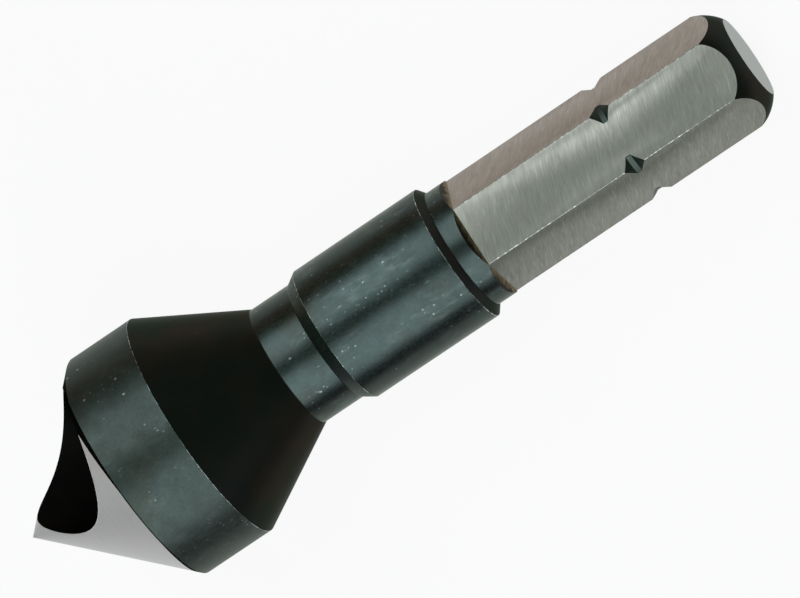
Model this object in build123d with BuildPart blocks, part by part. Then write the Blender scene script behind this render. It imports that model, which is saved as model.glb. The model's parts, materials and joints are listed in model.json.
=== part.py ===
"""Countersink and deburring bit: one cutting edge, an oblique cross hole and a hexagonal drive shank.

The tool is one turned piece of high-speed steel. From the point to the drive end it has a 90 degree
cone with a relief that falls away behind the cutting edge, a short cylindrical margin, a back taper,
a slim neck, a collar, a round shoulder and a hexagon with a notch across its six corners.

Tool frame: Z runs along the axis from the point (0) to the drive end, and +X is the normal of one
hexagon flat. "Station" means a distance from the point along Z. The finished bit is laid down on the
back edge of its margin and on the opposite flat, where a loose bit comes to rest.
All lengths are in millimetres and all angles in degrees.
"""

import os
from math import atan2, cos, radians, sin, tan

from build123d import *

# --- Head ---------------------------------------------------------------------------------------
head_diameter = 14.2
point_angle = 90.0            # included angle of the cone at the cutting edge
relief_drop = 0.47            # how far the rim of the cone recedes behind the cutting edge
relief_return = 36.0          # end of the turn in which the rim comes back, up to the chip hole
margin_length = 4.5           # cylindrical margin between the cone and the back taper
taper_half_angle = 29.0       # back taper, from the axis

# --- Neck, collar and shoulder ------------------------------------------------------------------
neck_diameter = 7.5
neck_length = 2.55
collar_diameter = 8.4
collar_front_chamfer = 0.7    # axial length of the slope from the neck up to the collar
collar_length = 8.2           # cylindrical part of the collar
collar_back_chamfer = 0.4     # axial length of the slope from the collar down to the shoulder
shoulder_diameter = 7.38
shoulder_length = 1.3         # from the collar to the start of the flats

# --- Hexagonal shank ----------------------------------------------------------------------------
hex_across_flats = 6.3
hex_length = 18.0             # from the start of the flats to the drive end
run_out_angle = 60.0          # slope of the flats' run-out, from the axis
notch_to_end = 8.2            # plane of the corner notches, from the drive end
notch_depth = 0.3             # below the corners
notch_floor = 0.3             # axial width of the notch's floor
notch_flank_angle = 30.0      # from the axis
end_face_diameter = 4.95
crown_setback_flat = 0.62     # where the crowned end meets the middle of a flat, from the end
crown_setback_round = 1.75    # where the crowned end meets the round stock, from the end

# --- Chip hole ----------------------------------------------------------------------------------
hole_azimuth = -40.6          # half plane that holds the hole's mouth, about Z from +X
cross_hole_diameter = 6.4
cross_hole_tilt = 55.0        # between the cross hole and the tool's axis
cross_hole_station = 7.5      # where the two axes meet
mouth_diameter = 8.17         # ball-nosed scoop that opens the mouth towards the point
mouth_tilt = 31.6
mouth_station = 10.2
mouth_depth = 4.6             # centre of the ball, from where the two axes meet

cutter_overrun = 2.0          # how far every cutter passes the stock

# --- Stations and radii that follow -------------------------------------------------------------
head_radius = head_diameter / 2
neck_radius = neck_diameter / 2
collar_radius = collar_diameter / 2
shoulder_radius = shoulder_diameter / 2
flat_distance = hex_across_flats / 2
corner_radius = flat_distance / cos(radians(30))
end_face_radius = end_face_diameter / 2

rim_station = head_radius / tan(radians(point_angle / 2))
margin_end = rim_station + margin_length
neck_start = margin_end + (head_radius - neck_radius) / tan(radians(taper_half_angle))
neck_end = neck_start + neck_length
collar_start = neck_end + collar_front_chamfer
collar_end = collar_start + collar_length
shoulder_start = collar_end + collar_back_chamfer
hex_start = shoulder_start + shoulder_length
total_length = hex_start + hex_length
notch_station = total_length - notch_to_end

axis_section = Plane.XZ       # sketch x is the radius, sketch y is the station


def oblique_plane(station, tilt, depth=0.0):
    """Plane across a hole's axis, which meets the tool's axis at a station and leans to the point."""
    mouth_direction = Vector(
        sin(radians(tilt)) * cos(radians(hole_azimuth)),
        sin(radians(tilt)) * sin(radians(hole_azimuth)),
        -cos(radians(tilt)),
    )
    return Plane(origin=Vector(0, 0, station) + mouth_direction * depth, z_dir=mouth_direction)


def relief_radius(turn):
    """Radius of the relieved cone at the end of the margin, a share of a turn behind the edge."""
    return_share = relief_return / 360
    fall = min(turn / (1 - return_share), (1 - turn) / return_share)
    receded_rim = rim_station + relief_drop * fall
    return head_radius * margin_end / receded_rim


def relief_point(turn):
    """Point of the relief curve in the plane at the end of the margin."""
    angle = radians(hole_azimuth + 360 * turn)
    return relief_radius(turn) * cos(angle), relief_radius(turn) * sin(angle)


# Relieved cone: straight lines from the point to a closed curve, which recedes behind the cutting
# edge and comes back just before the chip hole.
relief_points = 40
with BuildPart() as relieved_cone:
    with BuildSketch(Plane.XY.offset(margin_end)) as relief_curve:
        with BuildLine():
            Spline(*[relief_point(i / relief_points) for i in range(relief_points)], periodic=True)
        make_face()
    loft(sections=[Vertex(0, 0, 0), relief_curve.sketch.face()])

# What the point grinding leaves: the relieved cone, and everything behind the margin.
with BuildPart() as grinding_envelope:
    add(relieved_cone.part)
    with BuildSketch(Plane.XY.offset(margin_end)):
        Circle(head_diameter)
    extrude(amount=total_length - margin_end + cutter_overrun)

# One flat of the hexagon: a block that comes in along +X, with the sloped run-out in front.
run_out_depth = shoulder_radius + cutter_overrun - flat_distance
with BuildPart() as flat_cutter:
    with BuildSketch(axis_section):
        with BuildLine():
            Polyline(
                (flat_distance, hex_start),
                (flat_distance, total_length + cutter_overrun),
                (flat_distance + run_out_depth, total_length + cutter_overrun),
                (flat_distance + run_out_depth, hex_start - run_out_depth / tan(radians(run_out_angle))),
                close=True,
            )
        make_face()
    extrude(amount=shoulder_radius, both=True)

with BuildPart() as tool:
    # Turned blank
    with BuildSketch(axis_section):
        with BuildLine():
            Polyline(
                (0, total_length),
                (0, 0),
                (head_radius, 0),
                (head_radius, margin_end),
                (neck_radius, neck_start),
                (neck_radius, neck_end),
                (collar_radius, collar_start),
                (collar_radius, collar_end),
                (shoulder_radius, shoulder_start),
                (shoulder_radius, total_length - crown_setback_round),
            )
            ThreePointArc(
                (shoulder_radius, total_length - crown_setback_round),
                (flat_distance, total_length - crown_setback_flat),
                (end_face_radius, total_length),
            )
            Line((end_face_radius, total_length), (0, total_length))
        make_face()
    revolve(axis=Axis.Z)

    # Relieved cone
    add(grinding_envelope.part, mode=Mode.INTERSECT)

    # Chip hole: the cross hole right through, and the scoop that opens its mouth
    with BuildSketch(oblique_plane(cross_hole_station, cross_hole_tilt)):
        Circle(cross_hole_diameter / 2)
    extrude(amount=2 * head_diameter, both=True, mode=Mode.SUBTRACT)
    scoop_plane = oblique_plane(mouth_station, mouth_tilt, mouth_depth)
    with BuildSketch(scoop_plane):
        Circle(mouth_diameter / 2)
    extrude(amount=2 * head_diameter, mode=Mode.SUBTRACT)
    with Locations(scoop_plane.origin):
        Sphere(mouth_diameter / 2, mode=Mode.SUBTRACT)

    # Six flats with their run-outs
    with PolarLocations(0, 6):
        add(flat_cutter.part, mode=Mode.SUBTRACT)

    # Notch turned across the six corners
    notch_floor_radius = corner_radius - notch_depth
    notch_mouth_radius = shoulder_radius + cutter_overrun
    flank_run = (notch_mouth_radius - notch_floor_radius) / tan(radians(notch_flank_angle))
    with BuildSketch(axis_section):
        with BuildLine():
            Polyline(
                (notch_floor_radius, notch_station - notch_floor / 2),
                (notch_floor_radius, notch_station + notch_floor / 2),
                (notch_mouth_radius, notch_station + notch_floor / 2 + flank_run),
                (notch_mouth_radius, notch_station - notch_floor / 2 - flank_run),
                close=True,
            )
        make_face()
    revolve(axis=Axis.Z, mode=Mode.SUBTRACT)

# --- Rest ---------------------------------------------------------------------------------------
# The bit lies on the back edge of its margin and on the end of one flat, with its point towards -X.
# The axis falls by rest_slope towards the drive end, and +X of the tool frame points up.
# The contacts are the two ends of contact_span, one head_radius and one flat_distance off the axis.
contact_span = total_length - crown_setback_flat - margin_end
contact_rise = head_radius - flat_distance
rest_slope = atan2(contact_rise, contact_span)
overall_x = total_length * cos(rest_slope) + end_face_radius * sin(rest_slope)
point_height = margin_end * sin(rest_slope) + head_radius * cos(rest_slope)
rest_plane = Plane(
    origin=(-overall_x / 2, 0, point_height),
    x_dir=(sin(rest_slope), 0, cos(rest_slope)),
    z_dir=(cos(rest_slope), 0, -sin(rest_slope)),
)

with BuildPart(rest_plane) as countersink_bit:
    add(tool.part)
countersink_bit.part.label = "countersink_bit"

os.makedirs("parts", exist_ok=True)
export_step(countersink_bit.part, "parts/countersink_bit.step")
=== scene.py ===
"""Countersink and deburring bit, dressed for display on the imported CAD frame.

The bit is one piece of high-speed steel: a ground point with a chip hole, a black oxide body and a
ground hexagonal shank. Its mesh is carved from a turned blank in the tool frame, in millimetres:
Z runs along the axis from the point to the drive end, and +X is the normal of one flat.
"""

import json
import logging
from dataclasses import dataclass, field
from enum import Enum
from math import atan2, cos, pi, radians, sin, tan

import bmesh
import bpy
from mathutils import Matrix, Vector


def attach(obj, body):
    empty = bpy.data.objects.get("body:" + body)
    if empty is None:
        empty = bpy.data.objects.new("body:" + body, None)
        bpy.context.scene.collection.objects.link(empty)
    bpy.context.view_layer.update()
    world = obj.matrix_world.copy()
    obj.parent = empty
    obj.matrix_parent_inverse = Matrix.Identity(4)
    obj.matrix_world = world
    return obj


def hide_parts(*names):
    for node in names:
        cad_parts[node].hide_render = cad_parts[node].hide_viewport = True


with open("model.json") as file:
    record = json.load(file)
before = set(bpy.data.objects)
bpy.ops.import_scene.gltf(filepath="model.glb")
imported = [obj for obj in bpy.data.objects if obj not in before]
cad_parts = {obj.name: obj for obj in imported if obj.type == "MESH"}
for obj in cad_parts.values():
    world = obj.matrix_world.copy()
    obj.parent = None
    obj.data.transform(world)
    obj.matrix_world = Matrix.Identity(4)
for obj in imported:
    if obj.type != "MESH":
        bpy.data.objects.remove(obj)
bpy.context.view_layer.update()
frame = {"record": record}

MM = 0.001
NODE = "countersink_bit"
COORDINATES = "tool_mm"
ACROSS = "across_mm"

log = logging.getLogger("countersink_bit")

HEX_HALF_ANGLE = radians(30)  # half of the angle between two flats
CORNER_STEPS = 4  # chords on each rounded corner of the hexagon
WELD_MM = 1e-5
EVEN = (1.0, 1.0, 1.0)
NOISE_ROUGHNESS = 0.55
MIDDLE = (0.3, 0.7)  # most of a noise's values lie between these

Point = tuple[float, float, float]
Source = bpy.types.Node | bpy.types.NodeSocket
Setting = float | int | str | bool | tuple[float, ...] | Source
Inputs = dict[str | int, Setting] | tuple[Setting, ...]


# --- Shells: closed surfaces in the tool frame ----------------------------------------------------


class Region(Enum):
    """The finishes of the tool's surface, in the order of the mesh's material slots."""

    OXIDE = 0
    EDGE = 1
    BORE = 2
    CONE = 3
    RUN_OUT = 4
    FLAT = 5
    CORNER = 6
    MATT = 7
    END = 8
    MARGIN = 9


PLAIN = Region.OXIDE  # the first slot, for a shell of one material


class Cut(Enum):
    """What carving one shell with another leaves."""

    COMMON = "INTERSECT"
    REST = "DIFFERENCE"


@dataclass
class Shell:
    """A closed surface in millimetres, with the region of every face."""

    points: list[Point] = field(default_factory=list)
    faces: list[tuple[int, ...]] = field(default_factory=list)
    regions: list[Region] = field(default_factory=list)

    def add_ring(self, ring: list[Point]) -> list[int]:
        """Adds a ring's points.

        Args:
            ring: The points in order, or one point where the surface closes on the axis.

        Returns:
            The indices of the points.
        """
        start = len(self.points)
        self.points.extend(ring)
        return list(range(start, start + len(ring)))

    def bridge(self, first: list[int], second: list[int], regions: list[Region]) -> None:
        """Joins two rings with quads, or with triangles where one of them is a single point.

        Args:
            first: Indices of the ring nearer to the point of the tool.
            second: Indices of the next ring.
            regions: The region of each face round the ring.
        """
        count = max(len(first), len(second))
        for i in range(count):
            j = (i + 1) % count
            if len(first) == 1:
                face = (first[0], second[j], second[i])
            elif len(second) == 1:
                face = (first[i], first[j], second[0])
            else:
                face = (first[i], first[j], second[j], second[i])
            self.faces.append(face)
            self.regions.append(regions[i % len(regions)])

    def moved(self, placement: Matrix) -> "Shell":
        """Returns a copy of the shell placed by a matrix."""
        points = [tuple(placement @ Vector(p)) for p in self.points]
        return Shell(points, list(self.faces), list(self.regions))

    def to_object(self, name: str, materials: list[bpy.types.Material]) -> bpy.types.Object:
        """Makes a Blender object of the shell.

        Args:
            name: Name of the object and of its mesh.
            materials: One material for each region.

        Returns:
            The object, still in millimetres of the tool frame.
        """
        mesh = bpy.data.meshes.new(name)
        mesh.from_pydata(self.points, [], self.faces)
        for material in materials:
            mesh.materials.append(material)
        for polygon, region in zip(mesh.polygons, self.regions):
            polygon.material_index = region.value
        piece = bpy.data.objects.new(name, mesh)
        bpy.context.scene.collection.objects.link(piece)
        return piece


def skin(rings: list[list[Point]], rows: list[list[Region]], looped: bool = False) -> Shell:
    """Covers a row of rings with faces.

    Args:
        rings: The rings in order. A ring of one point closes the surface.
        rows: The regions of the faces between one ring and the next.
        looped: True joins the last ring to the first, as on a ring-shaped cutter.

    Returns:
        The shell, with its faces turned outwards.
    """
    shell = Shell()
    indices = [shell.add_ring(ring) for ring in rings]
    pairs = list(zip(indices, indices[1:]))
    if looped:
        pairs.append((indices[-1], indices[0]))
    for (first, second), row in zip(pairs, rows):
        shell.bridge(first, second, row)
    return shell


def circle(radius: float, station: float, segments: int, start: float = 0.0) -> list[Point]:
    """Returns a ring round the axis, or the point on it where the radius is nothing."""
    if radius < 1e-9:
        return [(0.0, 0.0, station)]
    angles = [start + 2 * pi * i / segments for i in range(segments)]
    return [(radius * cos(a), radius * sin(a), station) for a in angles]


def carve(body: bpy.types.Object, tool: bpy.types.Object, cut: Cut) -> None:
    """Carves one object with another, which is then deleted.

    Args:
        body: The object that is carved in place.
        tool: The other object.
        cut: Whether the common part stays or what is outside the tool.
    """
    modifier = body.modifiers.new("carve", "BOOLEAN")
    modifier.operation = cut.value
    modifier.solver = "EXACT"
    modifier.object = tool
    carved = bpy.data.meshes.new_from_object(
        body.evaluated_get(bpy.context.evaluated_depsgraph_get())
    )
    body.modifiers.clear()
    old = body.data
    body.data = carved
    bpy.data.meshes.remove(old)
    tool_mesh = tool.data
    bpy.data.objects.remove(tool)
    bpy.data.meshes.remove(tool_mesh)


@dataclass(frozen=True)
class Knee:
    """A corner of the turned profile, with the regions of its arc and of the face before it."""

    radius: float
    station: float
    rounding: float = 0.0
    arc: Region = Region.OXIDE
    face: Region = Region.OXIDE


def rounded(knees: list[Knee], steps: int = 4) -> list[Knee]:
    """Rounds the corners of a profile.

    Args:
        knees: Corners of the profile with their rounding radii.
        steps: Number of chords on each arc.

    Returns:
        The profile's points, each with the region of the face that leads to it.
    """
    points = [Knee(knees[0].radius, knees[0].station)]
    for before, knee, after in zip(knees, knees[1:], knees[2:]):
        here = Vector((knee.radius, knee.station))
        back = (Vector((before.radius, before.station)) - here).normalized()
        onward = (Vector((after.radius, after.station)) - here).normalized()
        if knee.rounding == 0.0:
            points.append(Knee(*here, face=knee.face))
            continue
        half = back.angle(onward) / 2
        reach = knee.rounding / tan(half)
        centre = here + (back + onward).normalized() * (knee.rounding / sin(half))
        first = here + back * reach - centre
        last = here + onward * reach - centre
        turn = first.angle_signed(last)
        for i in range(steps + 1):
            spoke = first.copy()
            spoke.rotate(Matrix.Rotation(-turn * i / steps, 2))
            points.append(Knee(*(centre + spoke), face=knee.arc if i else knee.face))
    points.append(Knee(knees[-1].radius, knees[-1].station, face=knees[-1].face))
    return points


# --- The tool's sub-assemblies --------------------------------------------------------------------


@dataclass
class Head:
    """Ground point: a relieved 90 degree cone, its margin, the back taper and the chip hole."""

    diameter: float = 14.2
    point_angle: float = 90.0
    relief_drop: float = 0.47
    relief_return: float = 36.0
    margin_length: float = 4.5
    taper_half_angle: float = 29.0
    edge_rounding: float = 0.05
    hole_azimuth: float = -40.6
    cross_hole_diameter: float = 6.4
    cross_hole_tilt: float = 55.0
    cross_hole_station: float = 7.5
    mouth_diameter: float = 8.17
    mouth_tilt: float = 31.6
    mouth_station: float = 10.2
    mouth_depth: float = 4.6
    lip_at_edge: float = 0.55
    lip_least: float = 0.08
    lip_at_heel: float = 2.2
    lip_fade: float = 0.14
    lip_start: float = 0.22
    lip_growth: float = 1.3
    cone_shares: tuple[float, ...] = (0.002, 0.01, 0.05, 0.2)

    @property
    def radius(self) -> float:
        """Radius of the margin."""
        return self.diameter / 2

    @property
    def rim_station(self) -> float:
        """Station of the rim at the cutting edge."""
        return self.radius / tan(radians(self.point_angle / 2))

    @property
    def margin_end(self) -> float:
        """Station where the back taper begins."""
        return self.rim_station + self.margin_length

    def neck_start(self, neck_radius: float) -> float:
        """Station where the back taper meets a neck of this radius."""
        return self.margin_end + (self.radius - neck_radius) / tan(radians(self.taper_half_angle))

    def knees(self) -> list[Knee]:
        """Returns the profile of the blank from the axis to the end of the margin."""
        return [
            Knee(0.0, 0.0),
            Knee(self.radius, 0.0),
            Knee(self.radius, self.margin_end, self.edge_rounding, Region.EDGE, Region.MARGIN),
        ]

    def receded_rim(self, turn: float) -> float:
        """Returns the station of the rim, which recedes behind the edge and comes back at the hole.

        Args:
            turn: Share of a turn behind the cutting edge.
        """
        return_share = self.relief_return / 360
        fall = min(turn / (1 - return_share), (1 - turn) / return_share)
        return self.rim_station + self.relief_drop * fall

    def lip(self, turn: float) -> float:
        """Returns the axial width of the dark lip that the point grinding leaves before the rim.

        Args:
            turn: Share of a turn behind the cutting edge.
        """
        spread = max(turn - self.lip_start, 0.0) / (1 - self.lip_start)
        near_edge = max(1 - turn / self.lip_fade, 0.0)
        grown = (self.lip_at_heel - self.lip_least) * spread**self.lip_growth
        return self.lip_least + grown + (self.lip_at_edge - self.lip_least) * near_edge

    def grinding_envelope(self, length: float, segments: int) -> Shell:
        """Returns what the point grinding leaves of the blank.

        Args:
            length: Station past the drive end.
            segments: Number of faces round the cone.
        """
        turns = [i / segments for i in range(segments)]

        def ring(stations: list[float]) -> list[Point]:
            """Returns the relieved cone's ring that passes through one station at each turn."""
            points = []
            for turn, station in zip(turns, stations):
                angle = radians(self.hole_azimuth) + 2 * pi * turn
                radius = self.radius * station / self.receded_rim(turn)
                points.append((radius * cos(angle), radius * sin(angle), station))
            return points

        cone = [ring([self.margin_end * share] * segments) for share in self.cone_shares]
        lip_ring = ring([self.receded_rim(turn) - self.lip(turn) for turn in turns])
        rim = ring([self.margin_end] * segments)
        back = [(x, y, length) for x, y, _ in rim]
        rings = [[(0.0, 0.0, 0.0)], *cone, lip_ring, rim, back, [(0.0, 0.0, length)]]
        return skin(rings, [[Region.CONE]] * (len(cone) + 1) + [[Region.BORE]] * 3)

    def hole_placement(self, station: float, tilt: float) -> Matrix:
        """Returns the placement of a hole's axis, which then runs out of the mouth along Z.

        Args:
            station: Where it meets the tool's axis.
            tilt: Its angle to the tool's axis, in degrees.
        """
        lean = radians(tilt)
        azimuth = radians(self.hole_azimuth)
        direction = Vector((sin(lean) * cos(azimuth), sin(lean) * sin(azimuth), -cos(lean)))
        turn = direction.to_track_quat("Z", "Y").to_matrix().to_4x4()
        return Matrix.Translation((0.0, 0.0, station)) @ turn

    def cross_hole(self, segments: int) -> Shell:
        """Returns the cutter of the hole that crosses the head."""
        radius = self.cross_hole_diameter / 2
        reach = 2 * self.diameter
        rings = [
            [(0.0, 0.0, -reach)],
            circle(radius, -reach, segments),
            circle(radius, 0.0, segments),
            circle(radius, reach, segments),
            [(0.0, 0.0, reach)],
        ]
        shell = skin(rings, [[Region.BORE]] * 4)
        return shell.moved(self.hole_placement(self.cross_hole_station, self.cross_hole_tilt))

    def scoop(self, segments: int) -> Shell:
        """Returns the ball-nosed cutter that opens the hole's mouth."""
        radius = self.mouth_diameter / 2
        rings = [[(0.0, 0.0, -radius)]]
        bands = segments // 4
        for i in range(1, bands + 1):
            fall = pi / 2 * (1 - i / bands)
            rings.append(circle(radius * cos(fall), -radius * sin(fall), segments))
        rings.append(circle(radius, 2 * self.diameter, segments))
        rings.append([(0.0, 0.0, 2 * self.diameter)])
        shell = skin(rings, [[Region.BORE]] * (len(rings) - 1))
        placement = self.hole_placement(self.mouth_station, self.mouth_tilt)
        return shell.moved(placement @ Matrix.Translation((0.0, 0.0, self.mouth_depth)))


@dataclass
class Body:
    """Turned middle of the tool: neck, collar and round shoulder."""

    neck_diameter: float = 7.5
    neck_length: float = 2.55
    collar_diameter: float = 8.4
    collar_front_chamfer: float = 0.7
    collar_length: float = 8.2
    collar_back_chamfer: float = 0.4
    shoulder_diameter: float = 7.38
    shoulder_length: float = 1.3
    edge_rounding: float = 0.05
    neck_fillet: float = 0.15
    shoulder_fillet: float = 0.06

    @property
    def collar_span(self) -> float:
        """Length from the end of the neck to the start of the shoulder."""
        return self.collar_front_chamfer + self.collar_length + self.collar_back_chamfer

    @property
    def length(self) -> float:
        """Length from the start of the neck to the start of the flats."""
        return self.neck_length + self.collar_span + self.shoulder_length

    def knees(self, start: float) -> list[Knee]:
        """Returns the profile from the start of the neck to the start of the shoulder."""
        neck, collar = self.neck_diameter / 2, self.collar_diameter / 2
        neck_end = start + self.neck_length
        collar_start = neck_end + self.collar_front_chamfer
        collar_end = collar_start + self.collar_length
        shoulder_start = collar_end + self.collar_back_chamfer
        matt, edge = Region.MATT, Region.EDGE
        return [
            Knee(neck, start, self.neck_fillet, face=matt),
            Knee(neck, neck_end, self.neck_fillet),
            Knee(collar, collar_start, self.edge_rounding, edge, Region.MARGIN),
            Knee(collar, collar_end, self.edge_rounding, edge),
            Knee(self.shoulder_diameter / 2, shoulder_start, self.shoulder_fillet, matt, matt),
        ]


@dataclass
class HexShank:
    """Ground hexagonal drive with run-outs, a notch across its corners and a crowned end."""

    across_flats: float = 6.3
    length: float = 18.0
    run_out_angle: float = 60.0
    corner_rounding: float = 0.08
    notch_to_end: float = 8.2
    notch_depth: float = 0.3
    notch_floor: float = 0.3
    notch_flank_angle: float = 30.0
    end_face_diameter: float = 4.95
    crown_setback_flat: float = 0.62
    crown_setback_round: float = 1.75
    crown_steps: int = 20
    cutter_overrun: float = 2.0
    notch_turn: float = 0.01

    @property
    def flat_distance(self) -> float:
        """Distance from the axis to a flat."""
        return self.across_flats / 2

    @property
    def corner_radius(self) -> float:
        """Distance from the axis to a sharp corner."""
        return self.flat_distance / cos(HEX_HALF_ANGLE)

    def knees(self, end: float, stock_radius: float) -> list[Knee]:
        """Returns the profile of the crowned end, from the round stock to the axis.

        Args:
            end: Station of the drive end.
            stock_radius: Radius of the round stock.
        """
        a = Vector((stock_radius, end - self.crown_setback_round))
        b = Vector((self.flat_distance, end - self.crown_setback_flat))
        c = Vector((self.end_face_diameter / 2, end))
        centre, radius = circle_through(a, b, c)
        begin, finish = (a - centre), (c - centre)
        first = atan2(begin.y, begin.x)
        last = atan2(finish.y, finish.x)
        arc = []
        for i in range(self.crown_steps + 1):
            angle = first + (last - first) * i / self.crown_steps
            x, y = centre.x + radius * cos(angle), centre.y + radius * sin(angle)
            arc.append(Knee(x, y, face=Region.MATT if i else Region.OXIDE))
        return [*arc, Knee(0.0, end, face=Region.END)]

    def ring(self, apothem: float, station: float) -> list[Point]:
        """Returns a hexagon with rounded corners.

        Args:
            apothem: Distance from the axis to each side.
            station: Station of the ring.
        """
        inset = self.corner_rounding / cos(HEX_HALF_ANGLE)
        centre = apothem / cos(HEX_HALF_ANGLE) - inset
        points = []
        for corner in range(6):
            middle = radians(30 + 60 * corner)
            for i in range(CORNER_STEPS + 1):
                a = middle + radians(-30 + 60 * i / CORNER_STEPS)
                x = centre * cos(middle) + self.corner_rounding * cos(a)
                y = centre * sin(middle) + self.corner_rounding * sin(a)
                points.append((x, y, station))
        return points

    def flats_envelope(self, start: float, end: float, clear_radius: float) -> Shell:
        """Returns what the grinding of the six flats leaves.

        Args:
            start: Station where the flats begin.
            end: Station of the drive end.
            clear_radius: Apothem at which the run-outs are clear of every part of the tool.
        """
        run = (clear_radius - self.flat_distance) / tan(radians(self.run_out_angle))
        rings = [
            [(0.0, 0.0, -self.cutter_overrun)],
            self.ring(clear_radius, -self.cutter_overrun),
            self.ring(clear_radius, start - run),
            self.ring(self.flat_distance, start),
            self.ring(self.flat_distance, end + self.cutter_overrun),
            [(0.0, 0.0, end + self.cutter_overrun)],
        ]
        side = [Region.CORNER] * CORNER_STEPS + [Region.FLAT]
        plain = [[Region.OXIDE]] * 2
        return skin(rings, [*plain, [Region.RUN_OUT], side, *plain])

    def notch(self, end: float, clear_radius: float, segments: int) -> Shell:
        """Returns the ring that a forming tool cuts across the corners.

        Args:
            end: Station of the drive end.
            clear_radius: Radius outside the round stock.
            segments: Number of faces round the ring.
        """
        station = end - self.notch_to_end
        floor = self.corner_radius - self.notch_depth
        run = (clear_radius - floor) / tan(radians(self.notch_flank_angle))
        half = self.notch_floor / 2
        rings = [
            circle(clear_radius, station + half + run, segments, self.notch_turn),
            circle(floor, station + half, segments, self.notch_turn),
            circle(floor, station - half, segments, self.notch_turn),
            circle(clear_radius, station - half - run, segments, self.notch_turn),
        ]
        return skin(rings, [[Region.MARGIN]] * 4, looped=True)


def circle_through(a: Vector, b: Vector, c: Vector) -> tuple[Vector, float]:
    """Finds the circle through three points.

    Args:
        a: First point.
        b: Second point.
        c: Third point.

    Returns:
        Its centre and radius.
    """
    d = 2 * (a.x * (b.y - c.y) + b.x * (c.y - a.y) + c.x * (a.y - b.y))
    aa, bb, cc = a.length_squared, b.length_squared, c.length_squared
    x = (aa * (b.y - c.y) + bb * (c.y - a.y) + cc * (a.y - b.y)) / d
    y = (aa * (c.x - b.x) + bb * (a.x - c.x) + cc * (b.x - a.x)) / d
    centre = Vector((x, y))
    return centre, (a - centre).length


@dataclass(frozen=True)
class Placement:
    """Where the tool lies: its drive end and its axis, as the record's mount gives them."""

    end_centre: Vector
    axis: Vector

    @classmethod
    def from_record(cls, record: dict) -> "Placement":
        """Reads the mount on the drive end.

        Args:
            record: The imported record.

        Returns:
            The placement, in metres.
        """
        mount = next(m for m in record["mounts"] if m["name"] == "drive_end")
        return cls(Vector(mount["pos_m"]), Vector(mount["axis"]).normalized())

    def matrix(self, length: float) -> Matrix:
        """Returns the matrix from the tool frame in millimetres to the row frame in metres.

        Args:
            length: Length of the tool.
        """
        side = Vector((0.0, -1.0, 0.0))
        up = side.cross(self.axis)
        origin = self.end_centre - self.axis * (length * MM)
        turn = Matrix((up, side, self.axis)).transposed().to_4x4()
        return Matrix.Translation(origin) @ turn @ Matrix.Scale(MM, 4)


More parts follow.
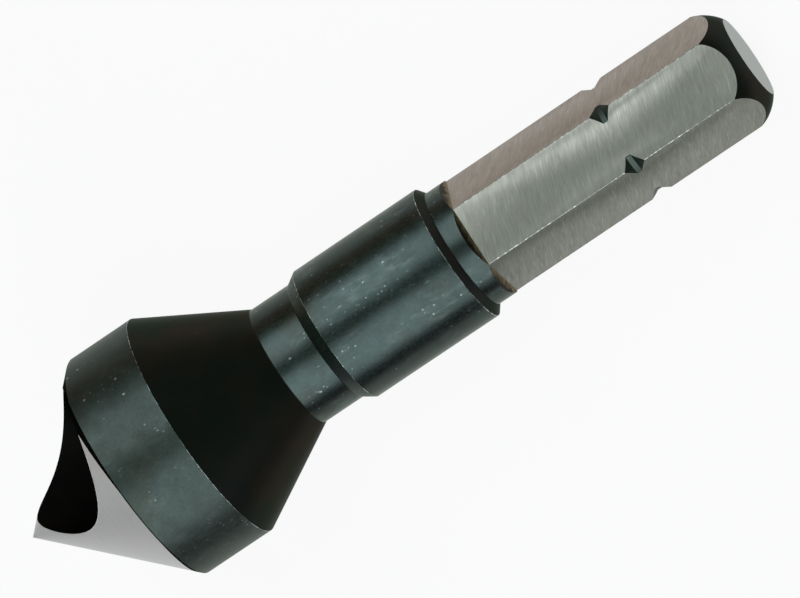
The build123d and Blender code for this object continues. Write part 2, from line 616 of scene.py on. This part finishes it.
@dataclass
class CountersinkBit:
    """The whole tool, carved from one turned blank."""

    head: Head = field(default_factory=Head)
    body: Body = field(default_factory=Body)
    shank: HexShank = field(default_factory=HexShank)
    segments: int = 288
    notch_segments: int = 144
    hole_segments: int = 192
    ring_turn: float = 0.37
    clear_radius: float = 9.0
    notch_clearance: float = 2.0
    sharp_angle: float = 22.0

    @property
    def hex_start(self) -> float:
        """Station where the flats begin."""
        return self.head.neck_start(self.body.neck_diameter / 2) + self.body.length

    @property
    def length(self) -> float:
        """Length of the tool."""
        return self.hex_start + self.shank.length

    def blank(self) -> Shell:
        """Returns the turned blank."""
        stock = self.body.shoulder_diameter / 2
        neck_start = self.head.neck_start(self.body.neck_diameter / 2)
        knees = [
            *self.head.knees(),
            *self.body.knees(neck_start),
            *self.shank.knees(self.length, stock),
        ]
        profile = rounded(knees)
        offset = radians(self.ring_turn)
        rings = [circle(k.radius, k.station, self.segments, offset) for k in profile]
        return skin(rings, [[k.face] for k in profile[1:]])

    def build(self, materials: list[bpy.types.Material]) -> bpy.types.Object:
        """Carves the tool and lays it on the floor.

        Args:
            materials: One material for each region.

        Returns:
            The finished piece, in metres of the row frame.
        """
        piece = self.blank().to_object("countersink_bit_body", materials)
        past_end = self.length + self.shank.cutter_overrun
        past_stock = self.body.shoulder_diameter / 2 + self.notch_clearance
        steps = [
            (self.head.grinding_envelope(past_end, self.segments), Cut.COMMON),
            (self.shank.flats_envelope(self.hex_start, self.length, self.clear_radius), Cut.COMMON),
            (self.shank.notch(self.length, past_stock, self.notch_segments), Cut.REST),
            (self.head.cross_hole(self.hole_segments), Cut.REST),
            (self.head.scoop(self.hole_segments), Cut.REST),
        ]
        for shell, cut in steps:
            carve(piece, shell.to_object("cutter", materials), cut)
        self.finish_mesh(piece.data)
        piece.data.transform(Placement.from_record(frame["record"]).matrix(self.length))
        return piece

    def finish_mesh(self, mesh: bpy.types.Mesh) -> None:
        """Cleans the carved mesh, stores the tool's coordinates on it and shades it smooth.

        Args:
            mesh: The mesh, in millimetres of the tool frame.
        """
        work = bmesh.new()
        work.from_mesh(mesh)
        bmesh.ops.remove_doubles(work, verts=work.verts, dist=WELD_MM)
        bmesh.ops.dissolve_degenerate(work, edges=work.edges, dist=WELD_MM)
        bmesh.ops.recalc_face_normals(work, faces=work.faces)
        work.to_mesh(mesh)
        work.free()
        mesh.update()
        mesh.shade_smooth()
        mesh.set_sharp_from_angle(angle=radians(self.sharp_angle))
        places = mesh.attributes.new(COORDINATES, "FLOAT_VECTOR", "POINT")
        for vertex, place in zip(mesh.vertices, places.data):
            place.vector = vertex.co
        across = mesh.attributes.new(ACROSS, "FLOAT", "CORNER")
        for polygon in mesh.polygons:
            if polygon.material_index != Region.FLAT.value:
                continue
            normal = polygon.normal
            side = Vector((-normal.y, normal.x, 0.0)).normalized()
            for corner in polygon.loop_indices:
                spot = mesh.vertices[mesh.loops[corner].vertex_index].co
                across.data[corner].value = spot.dot(side)

    def dress(self) -> list[bpy.types.Material]:
        """Returns the material of each region, in the order of the regions."""
        finishes: dict[Region, Finish] = {
            Region.OXIDE: BlackOxide(),
            Region.EDGE: WornEdge(),
            Region.BORE: BoreOxide(),
            Region.CONE: GroundCone(),
            Region.RUN_OUT: TemperTint(),
            Region.FLAT: GroundFlat(),
            Region.CORNER: WornCorner(),
            Region.MATT: MattOxide(),
            Region.END: EndFace(),
            # The margin's finish carries painted shade on the side of the tool at -Y
            Region.MARGIN: BlackOxide(
                "black_oxide_on_margin", "#414947", "#403f37", roughness=0.43, painted_side_shade=0.2
            ),
        }
        return [finishes[region].material() for region in Region]


# --- Finishes -------------------------------------------------------------------------------------


def linear(hex_colour: str) -> tuple[float, float, float, float]:
    """Turns an sRGB hex colour to linear light.

    Args:
        hex_colour: Six hexadecimal digits after a hash.

    Returns:
        Red, green and blue in linear light, and an alpha of one.
    """
    channels = []
    for i in (1, 3, 5):
        value = int(hex_colour[i : i + 2], 16) / 255
        channels.append(value / 12.92 if value <= 0.04045 else ((value + 0.055) / 1.055) ** 2.4)
    return (channels[0], channels[1], channels[2], 1.0)


@dataclass(frozen=True)
class Specks:
    """A scatter of small worn spots: their spacing, radius and the share of places with one."""

    spacing_mm: float
    radius_mm: float
    share: float
    stretch: Point = EVEN


@dataclass
class Canvas:
    """The node tree of a new material or world, with the patterns that the finishes share."""

    owner: bpy.types.Material | bpy.types.World

    def __post_init__(self) -> None:
        """Starts an empty node tree."""
        self.owner.use_nodes = True
        self.owner.node_tree.nodes.clear()

    def add(self, kind: str, inputs: Inputs = (), **settings: Setting) -> bpy.types.Node:
        """Adds a node with its settings, values and links.

        Args:
            kind: Blender's name for the node, without its prefix.
            inputs: The inputs in order, or by name or index. Each is a value, or what feeds it: a
                socket, or a node for its first output.
            **settings: Attributes of the node.

        Returns:
            The new node.
        """
        tree = self.owner.node_tree
        node = tree.nodes.new(f"ShaderNode{kind}")
        for name, value in settings.items():
            setattr(node, name, value)
        pairs = inputs.items() if isinstance(inputs, dict) else enumerate(inputs)
        for key, value in pairs:
            source = value.outputs[0] if isinstance(value, bpy.types.Node) else value
            if isinstance(source, bpy.types.NodeSocket):
                tree.links.new(source, node.inputs[key])
            else:
                node.inputs[key].default_value = source
        return node

    def place(self, stretch: Point = EVEN) -> bpy.types.Node:
        """Returns the tool's coordinates in millimetres, scaled along each axis."""
        spot = self.add("Attribute", attribute_name=COORDINATES)
        return self.add("VectorMath", (spot.outputs["Vector"], stretch), operation="MULTIPLY")

    def grain(self, per_mm: float, detail: float, stretch: Point = EVEN) -> bpy.types.Node:
        """Returns noise fixed to the tool.

        Args:
            per_mm: Features in a millimetre.
            detail: Octaves of finer noise.
            stretch: Scale of the tool's coordinates along each axis.
        """
        inputs = {"Vector": self.place(stretch), "Scale": per_mm, "Detail": detail}
        return self.add("TexNoise", {**inputs, "Roughness": NOISE_ROUGHNESS})

    def layered(self, base: Setting, *coats: tuple[Setting, str]) -> bpy.types.NodeSocket:
        """Returns a colour with others laid over it.

        Args:
            base: The lowest colour.
            *coats: The share of each colour over those below it, and the colour as sRGB hex.
        """
        share_in, below_in, above_in, colour_out = 0, 6, 7, 2
        for share, coat in coats:
            inputs = {share_in: share, below_in: base, above_in: linear(coat)}
            base = self.add("Mix", inputs, data_type="RGBA").outputs[colour_out]
        return base

    def relief(
        self, *heights: tuple[Source, float, float], base: Source | None = None
    ) -> bpy.types.Node:
        """Returns a normal shaped by one height on top of another.

        Args:
            *heights: Each height from 0 to 1, the depth in millimetres that 1 stands for, and the
                share of its effect.
            base: Normal to build on.
        """
        normal = base
        for height, depth_mm, strength in heights:
            inputs = {"Height": height, "Distance": depth_mm * MM, "Strength": strength}
            if normal is not None:
                inputs["Normal"] = normal
            normal = self.add("Bump", inputs)
        return normal

    def specks(self, scatter: Specks) -> bpy.types.Node:
        """Returns small worn spots, sharp in the middle and soft at the edge."""
        inputs = {"Vector": self.place(scatter.stretch), "Scale": 1 / scatter.spacing_mm}
        grid = self.add("TexVoronoi", {**inputs, "Randomness": 1.0})
        reach = scatter.radius_mm / scatter.spacing_mm
        spot = self.add("MapRange", (grid.outputs["Distance"], reach, reach * 0.5))
        parts = self.add("SeparateColor", (grid.outputs["Color"],))
        chosen = self.add("Math", (parts, scatter.share), operation="LESS_THAN")
        return self.add("Math", (spot, chosen), operation="MULTIPLY")

    def metal(self, inputs: Inputs) -> None:
        """Ends the tree with a metal's Principled shader."""
        shader = self.add("BsdfPrincipled", {"Metallic": 1.0, **inputs})
        self.add("OutputMaterial", {"Surface": shader})


@dataclass(frozen=True)
class Finish:
    """A finish that gives one material."""

    name: str

    def material(self) -> bpy.types.Material:
        """Makes the material."""
        canvas = Canvas(bpy.data.materials.new(self.name))
        self.paint(canvas)
        return canvas.owner

    def paint(self, canvas: Canvas) -> None:
        """Adds the material's nodes."""
        raise NotImplementedError


@dataclass(frozen=True)
class BlackOxide(Finish):
    """Hot black oxide on turned high-speed steel.

    Gives the eye a dark slate green sheen that turns brown in patches, with soft highlights along
    the turned faces, faint rings from the turning and pale specks where the film is rubbed. A share
    of painted shade can darken the side of the tool at -Y, as it does on the margin.
    """

    name: str = "black_oxide_on_turned_steel"
    colour: str = "#394241"
    brown: str = "#35322b"
    steel: str = "#a9b4b3"
    tint: str = "#e4e9e2"
    roughness: float = 0.33
    # Painted shade: the share by which the base colour darkens towards the side at -Y, and where
    # that begins and ends
    painted_side_shade: float = 0.0
    painted_shade_from_mm: float = -1.2
    painted_shade_to_mm: float = -3.0
    patches_per_mm: float = 0.28
    clouds_per_mm: float = 0.9
    grain_per_mm: float = 7.0
    rubs_per_mm: float = 0.42
    haze_per_mm: float = 3.0
    rings_per_mm: float = 9.0
    dots: Specks = Specks(0.9, 0.085, 0.34, (1.0, 1.0, 0.8))
    dust: Specks = Specks(0.26, 0.062, 0.42, (1.0, 1.0, 0.7))
    dashes: Specks = Specks(0.5, 0.055, 0.25, (1.0, 1.0, 0.25))

    def paint(self, canvas: Canvas) -> None:
        """Adds the material's nodes."""
        brown_noise = canvas.grain(self.patches_per_mm, 3.0)
        patches = canvas.add("MapRange", (brown_noise, 0.5, 0.75, 0.0, 0.6))
        film = canvas.layered(linear(self.colour), (patches, self.brown))
        grain = canvas.grain(self.grain_per_mm, 3.0)
        clouds = canvas.grain(self.clouds_per_mm, 4.0)
        fine = canvas.add("MapRange", (grain, *MIDDLE, 0.88, 1.12))
        broad = canvas.add("MapRange", (clouds, *MIDDLE, 0.86, 1.12))
        shade = canvas.add("Math", (fine, broad), operation="MULTIPLY")
        spot = canvas.add("SeparateXYZ", (canvas.place(),))
        # Painted shade: the film's colour darkens towards the side of the tool at -Y
        dull = (spot.outputs["Y"], self.painted_shade_from_mm, self.painted_shade_to_mm, 1.0, 1.0 - self.painted_side_shade)
        side = canvas.add("MapRange", dull)
        level = canvas.add("Math", (shade, side), operation="MULTIPLY")
        tone = canvas.add("VectorMath", {0: film, "Scale": level}, operation="SCALE")
        worn = self.wear(canvas)
        rings = canvas.grain(1.0, 2.0, (0.15, 0.15, self.rings_per_mm))
        rough = (grain, *MIDDLE, self.roughness - 0.05, self.roughness + 0.06)
        canvas.metal(
            {
                "Base Color": canvas.layered(tone, (worn, self.steel)),
                "Specular Tint": linear(self.tint),
                "Roughness": canvas.add("MapRange", rough),
                "Normal": canvas.relief((rings, 0.004, 0.35), (grain, 0.003, 0.3)),
            }
        )

    def wear(self, canvas: Canvas) -> bpy.types.Node:
        """Returns how far the film is rubbed: dots all over, dust, dashes and haze in places."""
        rubs = canvas.grain(self.rubs_per_mm, 3.0, (1.0, 1.0, 0.6))
        rubbed = canvas.add("MapRange", (rubs, 0.47, 0.62))
        dots = canvas.specks(self.dots)
        dust, dashes = (
            canvas.add("Math", (canvas.specks(scatter), rubbed), operation="MULTIPLY")
            for scatter in (self.dust, self.dashes)
        )
        strongest = canvas.add("Math", (dust, dashes), operation="MAXIMUM")
        light = canvas.add("Math", (strongest, 0.45), operation="MULTIPLY")
        clear = canvas.add("Math", (dots, 0.6), operation="MULTIPLY")
        spots = canvas.add("Math", (clear, light), operation="MAXIMUM")
        veil = canvas.grain(self.haze_per_mm, 3.0, (1.0, 1.0, 0.3))
        haze = canvas.add("MapRange", (veil, 0.45, 0.75, 0.0, 0.09))
        hazed = canvas.add("Math", (haze, rubbed), operation="MULTIPLY")
        return canvas.add("Math", (spots, hazed), operation="MAXIMUM")


@dataclass(frozen=True)
class MattOxide(Finish):
    """Hot black oxide on a rough turned face, matt and never rubbed.

    Gives the eye a face that is nearly black, a little brown here and green there, with a faint
    grey glow where it is seen on the slant.
    """

    name: str = "black_oxide_on_rough_turned_steel"
    colour: str = "#2a2d2b"
    brown: str = "#332e2a"
    speck: str = "#4c514f"
    tint: str = "#b9beb8"
    roughness: float = 0.45
    patches_per_mm: float = 0.28
    grain_per_mm: float = 7.0
    rings_per_mm: float = 6.0
    dots: Specks = Specks(1.1, 0.05, 0.3)

    def paint(self, canvas: Canvas) -> None:
        """Adds the material's nodes."""
        patches = canvas.add("MapRange", (canvas.grain(self.patches_per_mm, 3.0), 0.42, 0.62))
        dots = canvas.specks(self.dots)
        rings = canvas.grain(1.0, 2.0, (0.15, 0.15, self.rings_per_mm))
        grain = canvas.grain(self.grain_per_mm, 3.0)
        coats = ((patches, self.brown), (dots, self.speck))
        canvas.metal(
            {
                "Base Color": canvas.layered(linear(self.colour), *coats),
                "Specular Tint": linear(self.tint),
                "Roughness": self.roughness,
                "Normal": canvas.relief((rings, 0.003, 0.3), (grain, 0.004, 0.3)),
            }
        )


@dataclass(frozen=True)
class EndFace(Finish):
    """High-speed steel, faced off at the drive end under a thin oxide.

    Gives the eye a plain greenish grey disc with a fine grain.
    """

    name: str = "faced_steel_end"
    steel: str = "#8f9692"
    roughness: float = 0.4
    grain_per_mm: float = 5.0

    def paint(self, canvas: Canvas) -> None:
        """Adds the material's nodes."""
        grain = canvas.grain(self.grain_per_mm, 3.0)
        shade = canvas.add("MapRange", (grain, *MIDDLE, 0.9, 1.1))
        steel = {0: linear(self.steel)[:3], "Scale": shade}
        tone = canvas.add("VectorMath", steel, operation="SCALE")
        normal = canvas.relief((grain, 0.004, 0.3))
        canvas.metal({"Base Color": tone, "Roughness": self.roughness, "Normal": normal})


@dataclass(frozen=True)
class WornEdge(Finish):
    """Black oxide on a turned edge, rubbed through.

    Gives the eye a thin broken line of bright steel along the edges of the margin and the collar.
    """

    name: str = "black_oxide_worn_edge"
    film: str = "#454e4d"
    steel: str = "#b9c2c2"
    roughness: float = 0.35
    breaks_per_mm: float = 2.2

    def paint(self, canvas: Canvas) -> None:
        """Adds the material's nodes."""
        breaks = canvas.grain(self.breaks_per_mm, 4.0)
        worn = canvas.add("MapRange", (breaks, 0.46, 0.58, 0.05, 0.9))
        colour = canvas.layered(linear(self.film), (worn, self.steel))
        canvas.metal({"Base Color": colour, "Roughness": self.roughness})


@dataclass(frozen=True)
class BoreOxide(Finish):
    """Black oxide in the chip hole and on the unground lip of the point, rough and never rubbed.

    Gives the eye a nearly black hollow with faint tool marks.
    """

    name: str = "black_oxide_in_drilled_hole"
    colour: str = "#1c1d1c"
    brown: str = "#24201c"
    tint: str = "#4c4e4c"
    roughness: float = 0.55
    patches_per_mm: float = 0.8
    marks_per_mm: float = 5.0

    def paint(self, canvas: Canvas) -> None:
        """Adds the material's nodes."""
        patches = canvas.add("MapRange", (canvas.grain(self.patches_per_mm, 3.0), 0.4, 0.7))
        marks = canvas.grain(self.marks_per_mm, 3.0)
        canvas.metal(
            {
                "Base Color": canvas.layered(linear(self.colour), (patches, self.brown)),
                "Specular Tint": linear(self.tint),
                "Roughness": self.roughness,
                "Normal": canvas.relief((marks, 0.01, 0.4)),
            }
        )


@dataclass(frozen=True)
class GroundCone(Finish):
    """High-speed steel, relief ground on the cone.

    Gives the eye a bright, even grey with fine grinding lines round the cone and a painted
    highlight, a lighter line where its edges catch the light. Real lines lie closer; these are as
    coarse as they need to be to show.
    """

    name: str = "relief_ground_steel"
    steel: str = "#b4b4b4"
    # Colour of the painted highlight along the edges
    edge: str = "#dcdcdb"
    lines_per_mm: float = 9.0
    edge_mm: float = 0.07

    def paint(self, canvas: Canvas) -> None:
        """Adds the material's nodes."""
        lines = canvas.grain(1.0, 3.0, (0.25, 0.25, self.lines_per_mm))
        shade = canvas.add("MapRange", (lines, *MIDDLE, 0.93, 1.07))
        steel = {0: linear(self.steel)[:3], "Scale": shade}
        tone = canvas.add("VectorMath", steel, operation="SCALE")
        bevel = canvas.add("Bevel", {"Radius": self.edge_mm * MM}, samples=6)
        shape = canvas.add("NewGeometry")
        normals = (bevel, shape.outputs["Normal"])
        agree = canvas.add("VectorMath", normals, operation="DOT_PRODUCT")
        # Painted highlight: lighter colour where the bevelled normal parts from the face's, along
        # the edges
        rim = canvas.add("MapRange", (agree.outputs["Value"], 0.995, 0.93))
        canvas.metal(
            {
                "Base Color": canvas.layered(tone, (rim, self.edge)),
                "Roughness": canvas.add("MapRange", (lines, *MIDDLE, 0.34, 0.42)),
                "Normal": canvas.relief((lines, 0.003, 0.4), base=bevel),
            }
        )


@dataclass(frozen=True)
class GroundFlat(Finish):
    """High-speed steel, the hexagon's flats surface ground across the shank.

    Gives the eye fine bright and dark streaks that run a little slantwise across each flat, a
    greenish grey with a painted warm reflection on the flats at one side of the shank and painted
    shade, darker and greener, on those at the other side, a faint crown from edge to edge and a
    few pits.
    """

    name: str = "surface_ground_steel"
    steel: str = "#95928c"
    # The next two colours are painted light: a warm painted reflection on the flats at -Y and
    # painted shade on those at +Y
    painted_warm_reflection: str = "#938a80"
    painted_cool_shade: str = "#86887f"
    scratched: str = "#c6c8c2"
    pitted: str = "#4a463f"
    crown_mm: float = 0.03
    half_width_mm: float = 1.82
    slant: float = 0.34
    painted_side_mm: tuple[float, float] = (1.75, 1.95)
    streak_gap: float = 7.0
    pits: Specks = Specks(2.4, 0.05, 0.3)

    def paint(self, canvas: Canvas) -> None:
        """Adds the material's nodes."""
        offset = canvas.add("Attribute", attribute_name=ACROSS).outputs["Fac"]
        spot = canvas.add("SeparateXYZ", (canvas.place(),)).outputs
        slanted = (offset, self.slant, spot["Z"])
        along = canvas.add("Math", slanted, operation="MULTIPLY_ADD")
        angle = canvas.add("Math", (spot["Y"], spot["X"]), operation="ARCTAN2")
        flats = canvas.add("Math", (angle, 3 / pi), operation="MULTIPLY")
        flat = canvas.add("Math", (flats,), operation="ROUND")
        grid = canvas.add("CombineXYZ", (offset, flat, along))

        def streaks(across: float, along_flat: float, detail: float) -> bpy.types.Node:
            """Returns noise drawn out across the flat, and different on each flat."""
            stretch = (across, self.streak_gap, along_flat)
            place = canvas.add("VectorMath", (grid, stretch), operation="MULTIPLY")
            inputs = {"Vector": place, "Scale": 1.0, "Detail": detail}
            return canvas.add("TexNoise", {**inputs, "Roughness": NOISE_ROUGHNESS})

        broad = streaks(0.5, 3.0, 2.0)
        fine = streaks(1.4, 13.0, 2.0)
        hair = streaks(0.7, 22.0, 1.0)
        part = canvas.add("Math", (broad, 0.4), operation="MULTIPLY")
        mixed = canvas.add("Math", (fine, 0.6, part), operation="MULTIPLY_ADD")
        # Painted reflection on the flats at -Y and painted shade on the flats at +Y, laid into the
        # base colour
        near, far = self.painted_side_mm
        painted_reflection_side = canvas.add("MapRange", (spot["Y"], -near, -far))
        painted_shade_side = canvas.add("MapRange", (spot["Y"], near, far))
        painted_light_sides = ((painted_reflection_side, self.painted_warm_reflection), (painted_shade_side, self.painted_cool_shade))
        base = canvas.layered(linear(self.steel), *painted_light_sides)
        shade = canvas.add("MapRange", (mixed, 0.32, 0.68, 0.82, 1.2))
        tone = canvas.add("VectorMath", {0: base, "Scale": shade}, operation="SCALE")
        scratch = canvas.add("MapRange", (hair, 0.64, 0.74, 0.0, 0.6))
        pits = canvas.add("Math", (canvas.specks(self.pits), 0.7), operation="MULTIPLY")
        marks = ((scratch, self.scratched), (pits, self.pitted))
        share = canvas.add("Math", (offset, self.half_width_mm), operation="DIVIDE")
        square = canvas.add("Math", (share, share), operation="MULTIPLY")
        fourth = canvas.add("Math", (square, square), operation="MULTIPLY")
        crown = canvas.add("Math", (fourth, -1.0), operation="MULTIPLY")
        canvas.metal(
            {
                "Base Color": canvas.layered(tone, *marks),
                "Roughness": canvas.add("MapRange", (mixed, *MIDDLE, 0.46, 0.38)),
                "Normal": canvas.relief((crown, self.crown_mm, 1.0), (mixed, 0.004, 0.5)),
            }
        )


@dataclass(frozen=True)
class WornCorner(Finish):
    """High-speed steel, the hexagon's corners rubbed bright by the bit holder.

    Gives the eye a thin light line with small nicks along each corner.
    """

    name: str = "rubbed_steel_corner"
    steel: str = "#cdcec9"
    dull: str = "#898983"
    roughness: float = 0.42
    nicks_per_mm: float = 4.0

    def paint(self, canvas: Canvas) -> None:
        """Adds the material's nodes."""
        breaks = canvas.grain(1.0, 3.0, (1.0, 1.0, self.nicks_per_mm))
        nicks = canvas.add("MapRange", (breaks, 0.5, 0.66))
        colour = canvas.layered(linear(self.dull), (nicks, self.steel))
        canvas.metal({"Base Color": colour, "Roughness": self.roughness})


@dataclass(frozen=True)
class TemperTint(Finish):
    """High-speed steel, tinted brown by heat where the wheel runs out into the black shoulder.

    Gives the eye a thin gold brown fringe at the start of each flat that fades into the black film.
    """

    name: str = "heat_tinted_steel"
    gold: str = "#8d7d62"
    black: str = "#2f2d26"
    roughness: float = 0.6
    fringe_mm: float = 0.18
    fringe_end_mm: float = 0.02
    wander_mm: float = 0.08
    wander_per_mm: float = 2.5

    def paint(self, canvas: Canvas) -> None:
        """Adds the material's nodes."""
        start = CountersinkBit().hex_start
        spot = canvas.add("SeparateXYZ", (canvas.place(),))
        swing = (canvas.grain(self.wander_per_mm, 3.0), *MIDDLE, -self.wander_mm, self.wander_mm)
        wander = canvas.add("MapRange", swing)
        station = canvas.add("Math", (spot.outputs["Z"], wander), operation="ADD")
        reach = (station, start - self.fringe_mm, start - self.fringe_end_mm)
        share = canvas.add("MapRange", reach)
        colour = canvas.layered(linear(self.black), (share, self.gold))
        canvas.metal({"Base Color": colour, "Roughness": self.roughness})


# --- Studio ---------------------------------------------------------------------------------------


@dataclass(frozen=True)
class BackdropPaper(Finish):
    """Matt white backdrop paper.

    Gives the eye a floor that is near white in itself and in the tool's reflections, with a faint
    shadow. Real fibres are finer; these are as coarse as they need to be to show.
    """

    name: str = "matt_white_backdrop_paper"
    fibres_per_metre: float = 900.0
    glow_share: float = 0.92

    def paint(self, canvas: Canvas) -> None:
        """Adds the material's nodes."""
        place = canvas.add("TexCoord").outputs["Object"]
        inputs = {"Vector": place, "Scale": self.fibres_per_metre, "Detail": 2.0}
        fibres = canvas.add("TexNoise", {**inputs, "Roughness": NOISE_ROUGHNESS})
        tone = canvas.add("MapRange", (fibres, *MIDDLE, 0.78, 0.82))
        colour = canvas.add("CombineColor", (tone, tone, tone))
        matt = canvas.add("BsdfDiffuse", {"Color": colour})
        ray = canvas.add("LightPath").outputs
        indirect = (ray["Is Glossy Ray"], ray["Is Transmission Ray"])
        mirrored = canvas.add("Math", indirect, operation="MAXIMUM")
        seen = canvas.add("Math", (ray["Is Camera Ray"], mirrored), operation="MAXIMUM")
        glow = canvas.add("Emission", {"Strength": 1.0})
        share = canvas.add("Math", (seen, self.glow_share), operation="MULTIPLY")
        both = canvas.add("MixShader", (share, matt, glow))
        canvas.add("OutputMaterial", {"Surface": both})


@dataclass(frozen=True)
class MattCard(Finish):
    """Dyed card, uncoated.

    Gives the eye a plain strip of colour in the tool's reflections.
    """

    colour: str

    def paint(self, canvas: Canvas) -> None:
        """Adds the material's nodes."""
        matt = canvas.add("BsdfDiffuse", {"Color": linear(self.colour)})
        canvas.add("OutputMaterial", {"Surface": matt})


@dataclass(frozen=True)
class Card:
    """A card that stands along the tool and darkens the horizon in its reflections."""

    name: str
    y: float
    height: float
    colour: str
    length: float = 0.5

    def build(self) -> bpy.types.Object:
        """Makes the card, which only reflections show."""
        half = self.length / 2
        corners = [(x, self.y, z) for x, z in ((-half, 0.0), (half, 0.0))]
        corners += [(x, self.y, self.height) for x in (half, -half)]
        shell = Shell(corners, [(0, 1, 2, 3)], [PLAIN])
        card = shell.to_object(self.name, [MattCard(f"matt_{self.name}", self.colour).material()])
        card.visible_camera = card.visible_shadow = card.visible_diffuse = False
        return card


@dataclass(frozen=True)
class Softbox:
    """A rectangular studio lamp."""

    name: str
    place: Point
    size: tuple[float, float]
    radiance: float = 4.4
    colour: str = "#eef6f8"

    def build(self, aim: Vector) -> None:
        """Makes the lamp and turns it to the tool.

        Args:
            aim: The point that it faces.
        """
        data = bpy.data.lights.new(self.name, "AREA")
        data.shape = "RECTANGLE"
        data.size, data.size_y = self.size
        data.energy = self.radiance * pi * self.size[0] * self.size[1]
        data.color = linear(self.colour)[:3]
        lamp = bpy.data.objects.new(self.name, data)
        lamp.visible_camera = False
        lamp.location = self.place
        facing = (aim - Vector(self.place)).normalized()
        lamp.rotation_euler = facing.to_track_quat("-Z", "X").to_euler()
        bpy.context.scene.collection.objects.link(lamp)


@dataclass
class Studio:
    """Pale floor that turns up into a low wall, two cards, two softboxes and a dim room."""

    floor_radius: float = 1.5
    floor_rings: tuple[float, ...] = (0.0, 0.06, 0.2, 0.6)
    floor_segments: int = 96
    wall_height: float = 0.25
    fillet_steps: int = 8
    room_colour: str = "#4a6550"
    aim: Point = (0.0, 0.0, 0.007)
    cards: tuple[Card, ...] = (
        Card("kraft_card", 0.05, 0.022, "#c08f70"),
        Card("black_card", -0.027, 0.0123, "#0c0c0c"),
    )
    softboxes: tuple[Softbox, ...] = (
        Softbox("softbox_left", (-0.10, 0.623, 0.943), (0.962, 0.4)),
        Softbox("softbox_right", (-0.10, -0.822, 0.776), (1.297, 0.4)),
    )

    def floor(self) -> bpy.types.Object:
        """Makes the floor with its low wall."""
        fillet = self.wall_height / 2
        flat_radius = self.floor_radius - fillet
        profile = [(r, 0.0) for r in (*self.floor_rings, flat_radius)]
        for i in range(1, self.fillet_steps + 1):
            turn = pi / 2 * i / self.fillet_steps
            profile.append((flat_radius + fillet * sin(turn), fillet - fillet * cos(turn)))
        profile.append((self.floor_radius, self.wall_height))
        rings = [circle(r, z, self.floor_segments) for r, z in profile]
        shell = skin(rings, [[PLAIN]] * (len(rings) - 1))
        floor = shell.to_object("studio_floor", [BackdropPaper().material()])
        for polygon in floor.data.polygons:
            polygon.use_smooth = True
        floor.data.flip_normals()
        return floor

    def room(self) -> None:
        """Gives the world the even light of a dim room."""
        canvas = Canvas(bpy.data.worlds.new("dim_room"))
        light = {"Color": linear(self.room_colour), "Strength": 1.0}
        glow = canvas.add("Background", light)
        canvas.add("OutputWorld", {"Surface": glow})
        bpy.context.scene.world = canvas.owner

    def build(self) -> None:
        """Sets up the floor, the cards, the room and the lamps."""
        self.floor()
        for card in self.cards:
            card.build()
        self.room()
        for softbox in self.softboxes:
            softbox.build(Vector(self.aim))


@dataclass(frozen=True)
class ViewCamera:
    """A long lens above the tool, given in the tool frame in millimetres."""

    distance: float = 529.76
    tilt: float = 10.199
    roll: float = 33.902
    azimuth: float = 5.0
    side: float = 0.381
    station: float = 24.976
    lens_mm: float = 428.1
    sensor_mm: float = 36.0
    clip: tuple[float, float] = (0.05, 10.0)

    def build(self, placement: Matrix) -> bpy.types.Object:
        """Makes the camera.

        Args:
            placement: Matrix from the tool frame to the row frame.

        Returns:
            The camera, which is also the scene's.
        """
        around = Matrix.Rotation(radians(self.azimuth), 3, "Z")
        tilt, roll = radians(self.tilt), radians(self.roll)
        back = around @ Vector((cos(tilt), 0.0, sin(tilt)))
        along = around @ Vector((-sin(tilt), 0.0, cos(tilt)))
        across = around @ Vector((0.0, 1.0, 0.0))
        right = along * cos(roll) + across * sin(roll)
        up = along * sin(roll) - across * cos(roll)
        spot = around @ Vector((0.0, self.side, self.station)) + back * self.distance
        turn = placement.to_3x3().normalized()
        data = bpy.data.cameras.new("camera")
        data.lens = self.lens_mm
        data.sensor_width = self.sensor_mm
        data.clip_start, data.clip_end = self.clip
        camera = bpy.data.objects.new("camera", data)
        axes = Matrix((turn @ right, turn @ up, turn @ back)).transposed()
        camera.matrix_world = Matrix.Translation(placement @ spot) @ axes.to_4x4()
        bpy.context.scene.collection.objects.link(camera)
        bpy.context.scene.camera = camera
        return camera


def main() -> None:
    """Builds the camera, the tool and the studio in order."""
    logging.basicConfig(level=logging.INFO, format="%(name)s: %(message)s")
    bit = CountersinkBit()
    placement = Placement.from_record(frame["record"]).matrix(bit.length)
    ViewCamera().build(placement)
    piece = bit.build(bit.dress())
    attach(piece, "root")
    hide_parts(NODE)
    log.info("%s: %d faces", piece.name, len(piece.data.polygons))
    Studio().build()
    log.info("studio: floor, cards, room and softboxes")
    bpy.context.scene.view_settings.view_transform = "Standard"


if __name__ == "__main__":
    main()
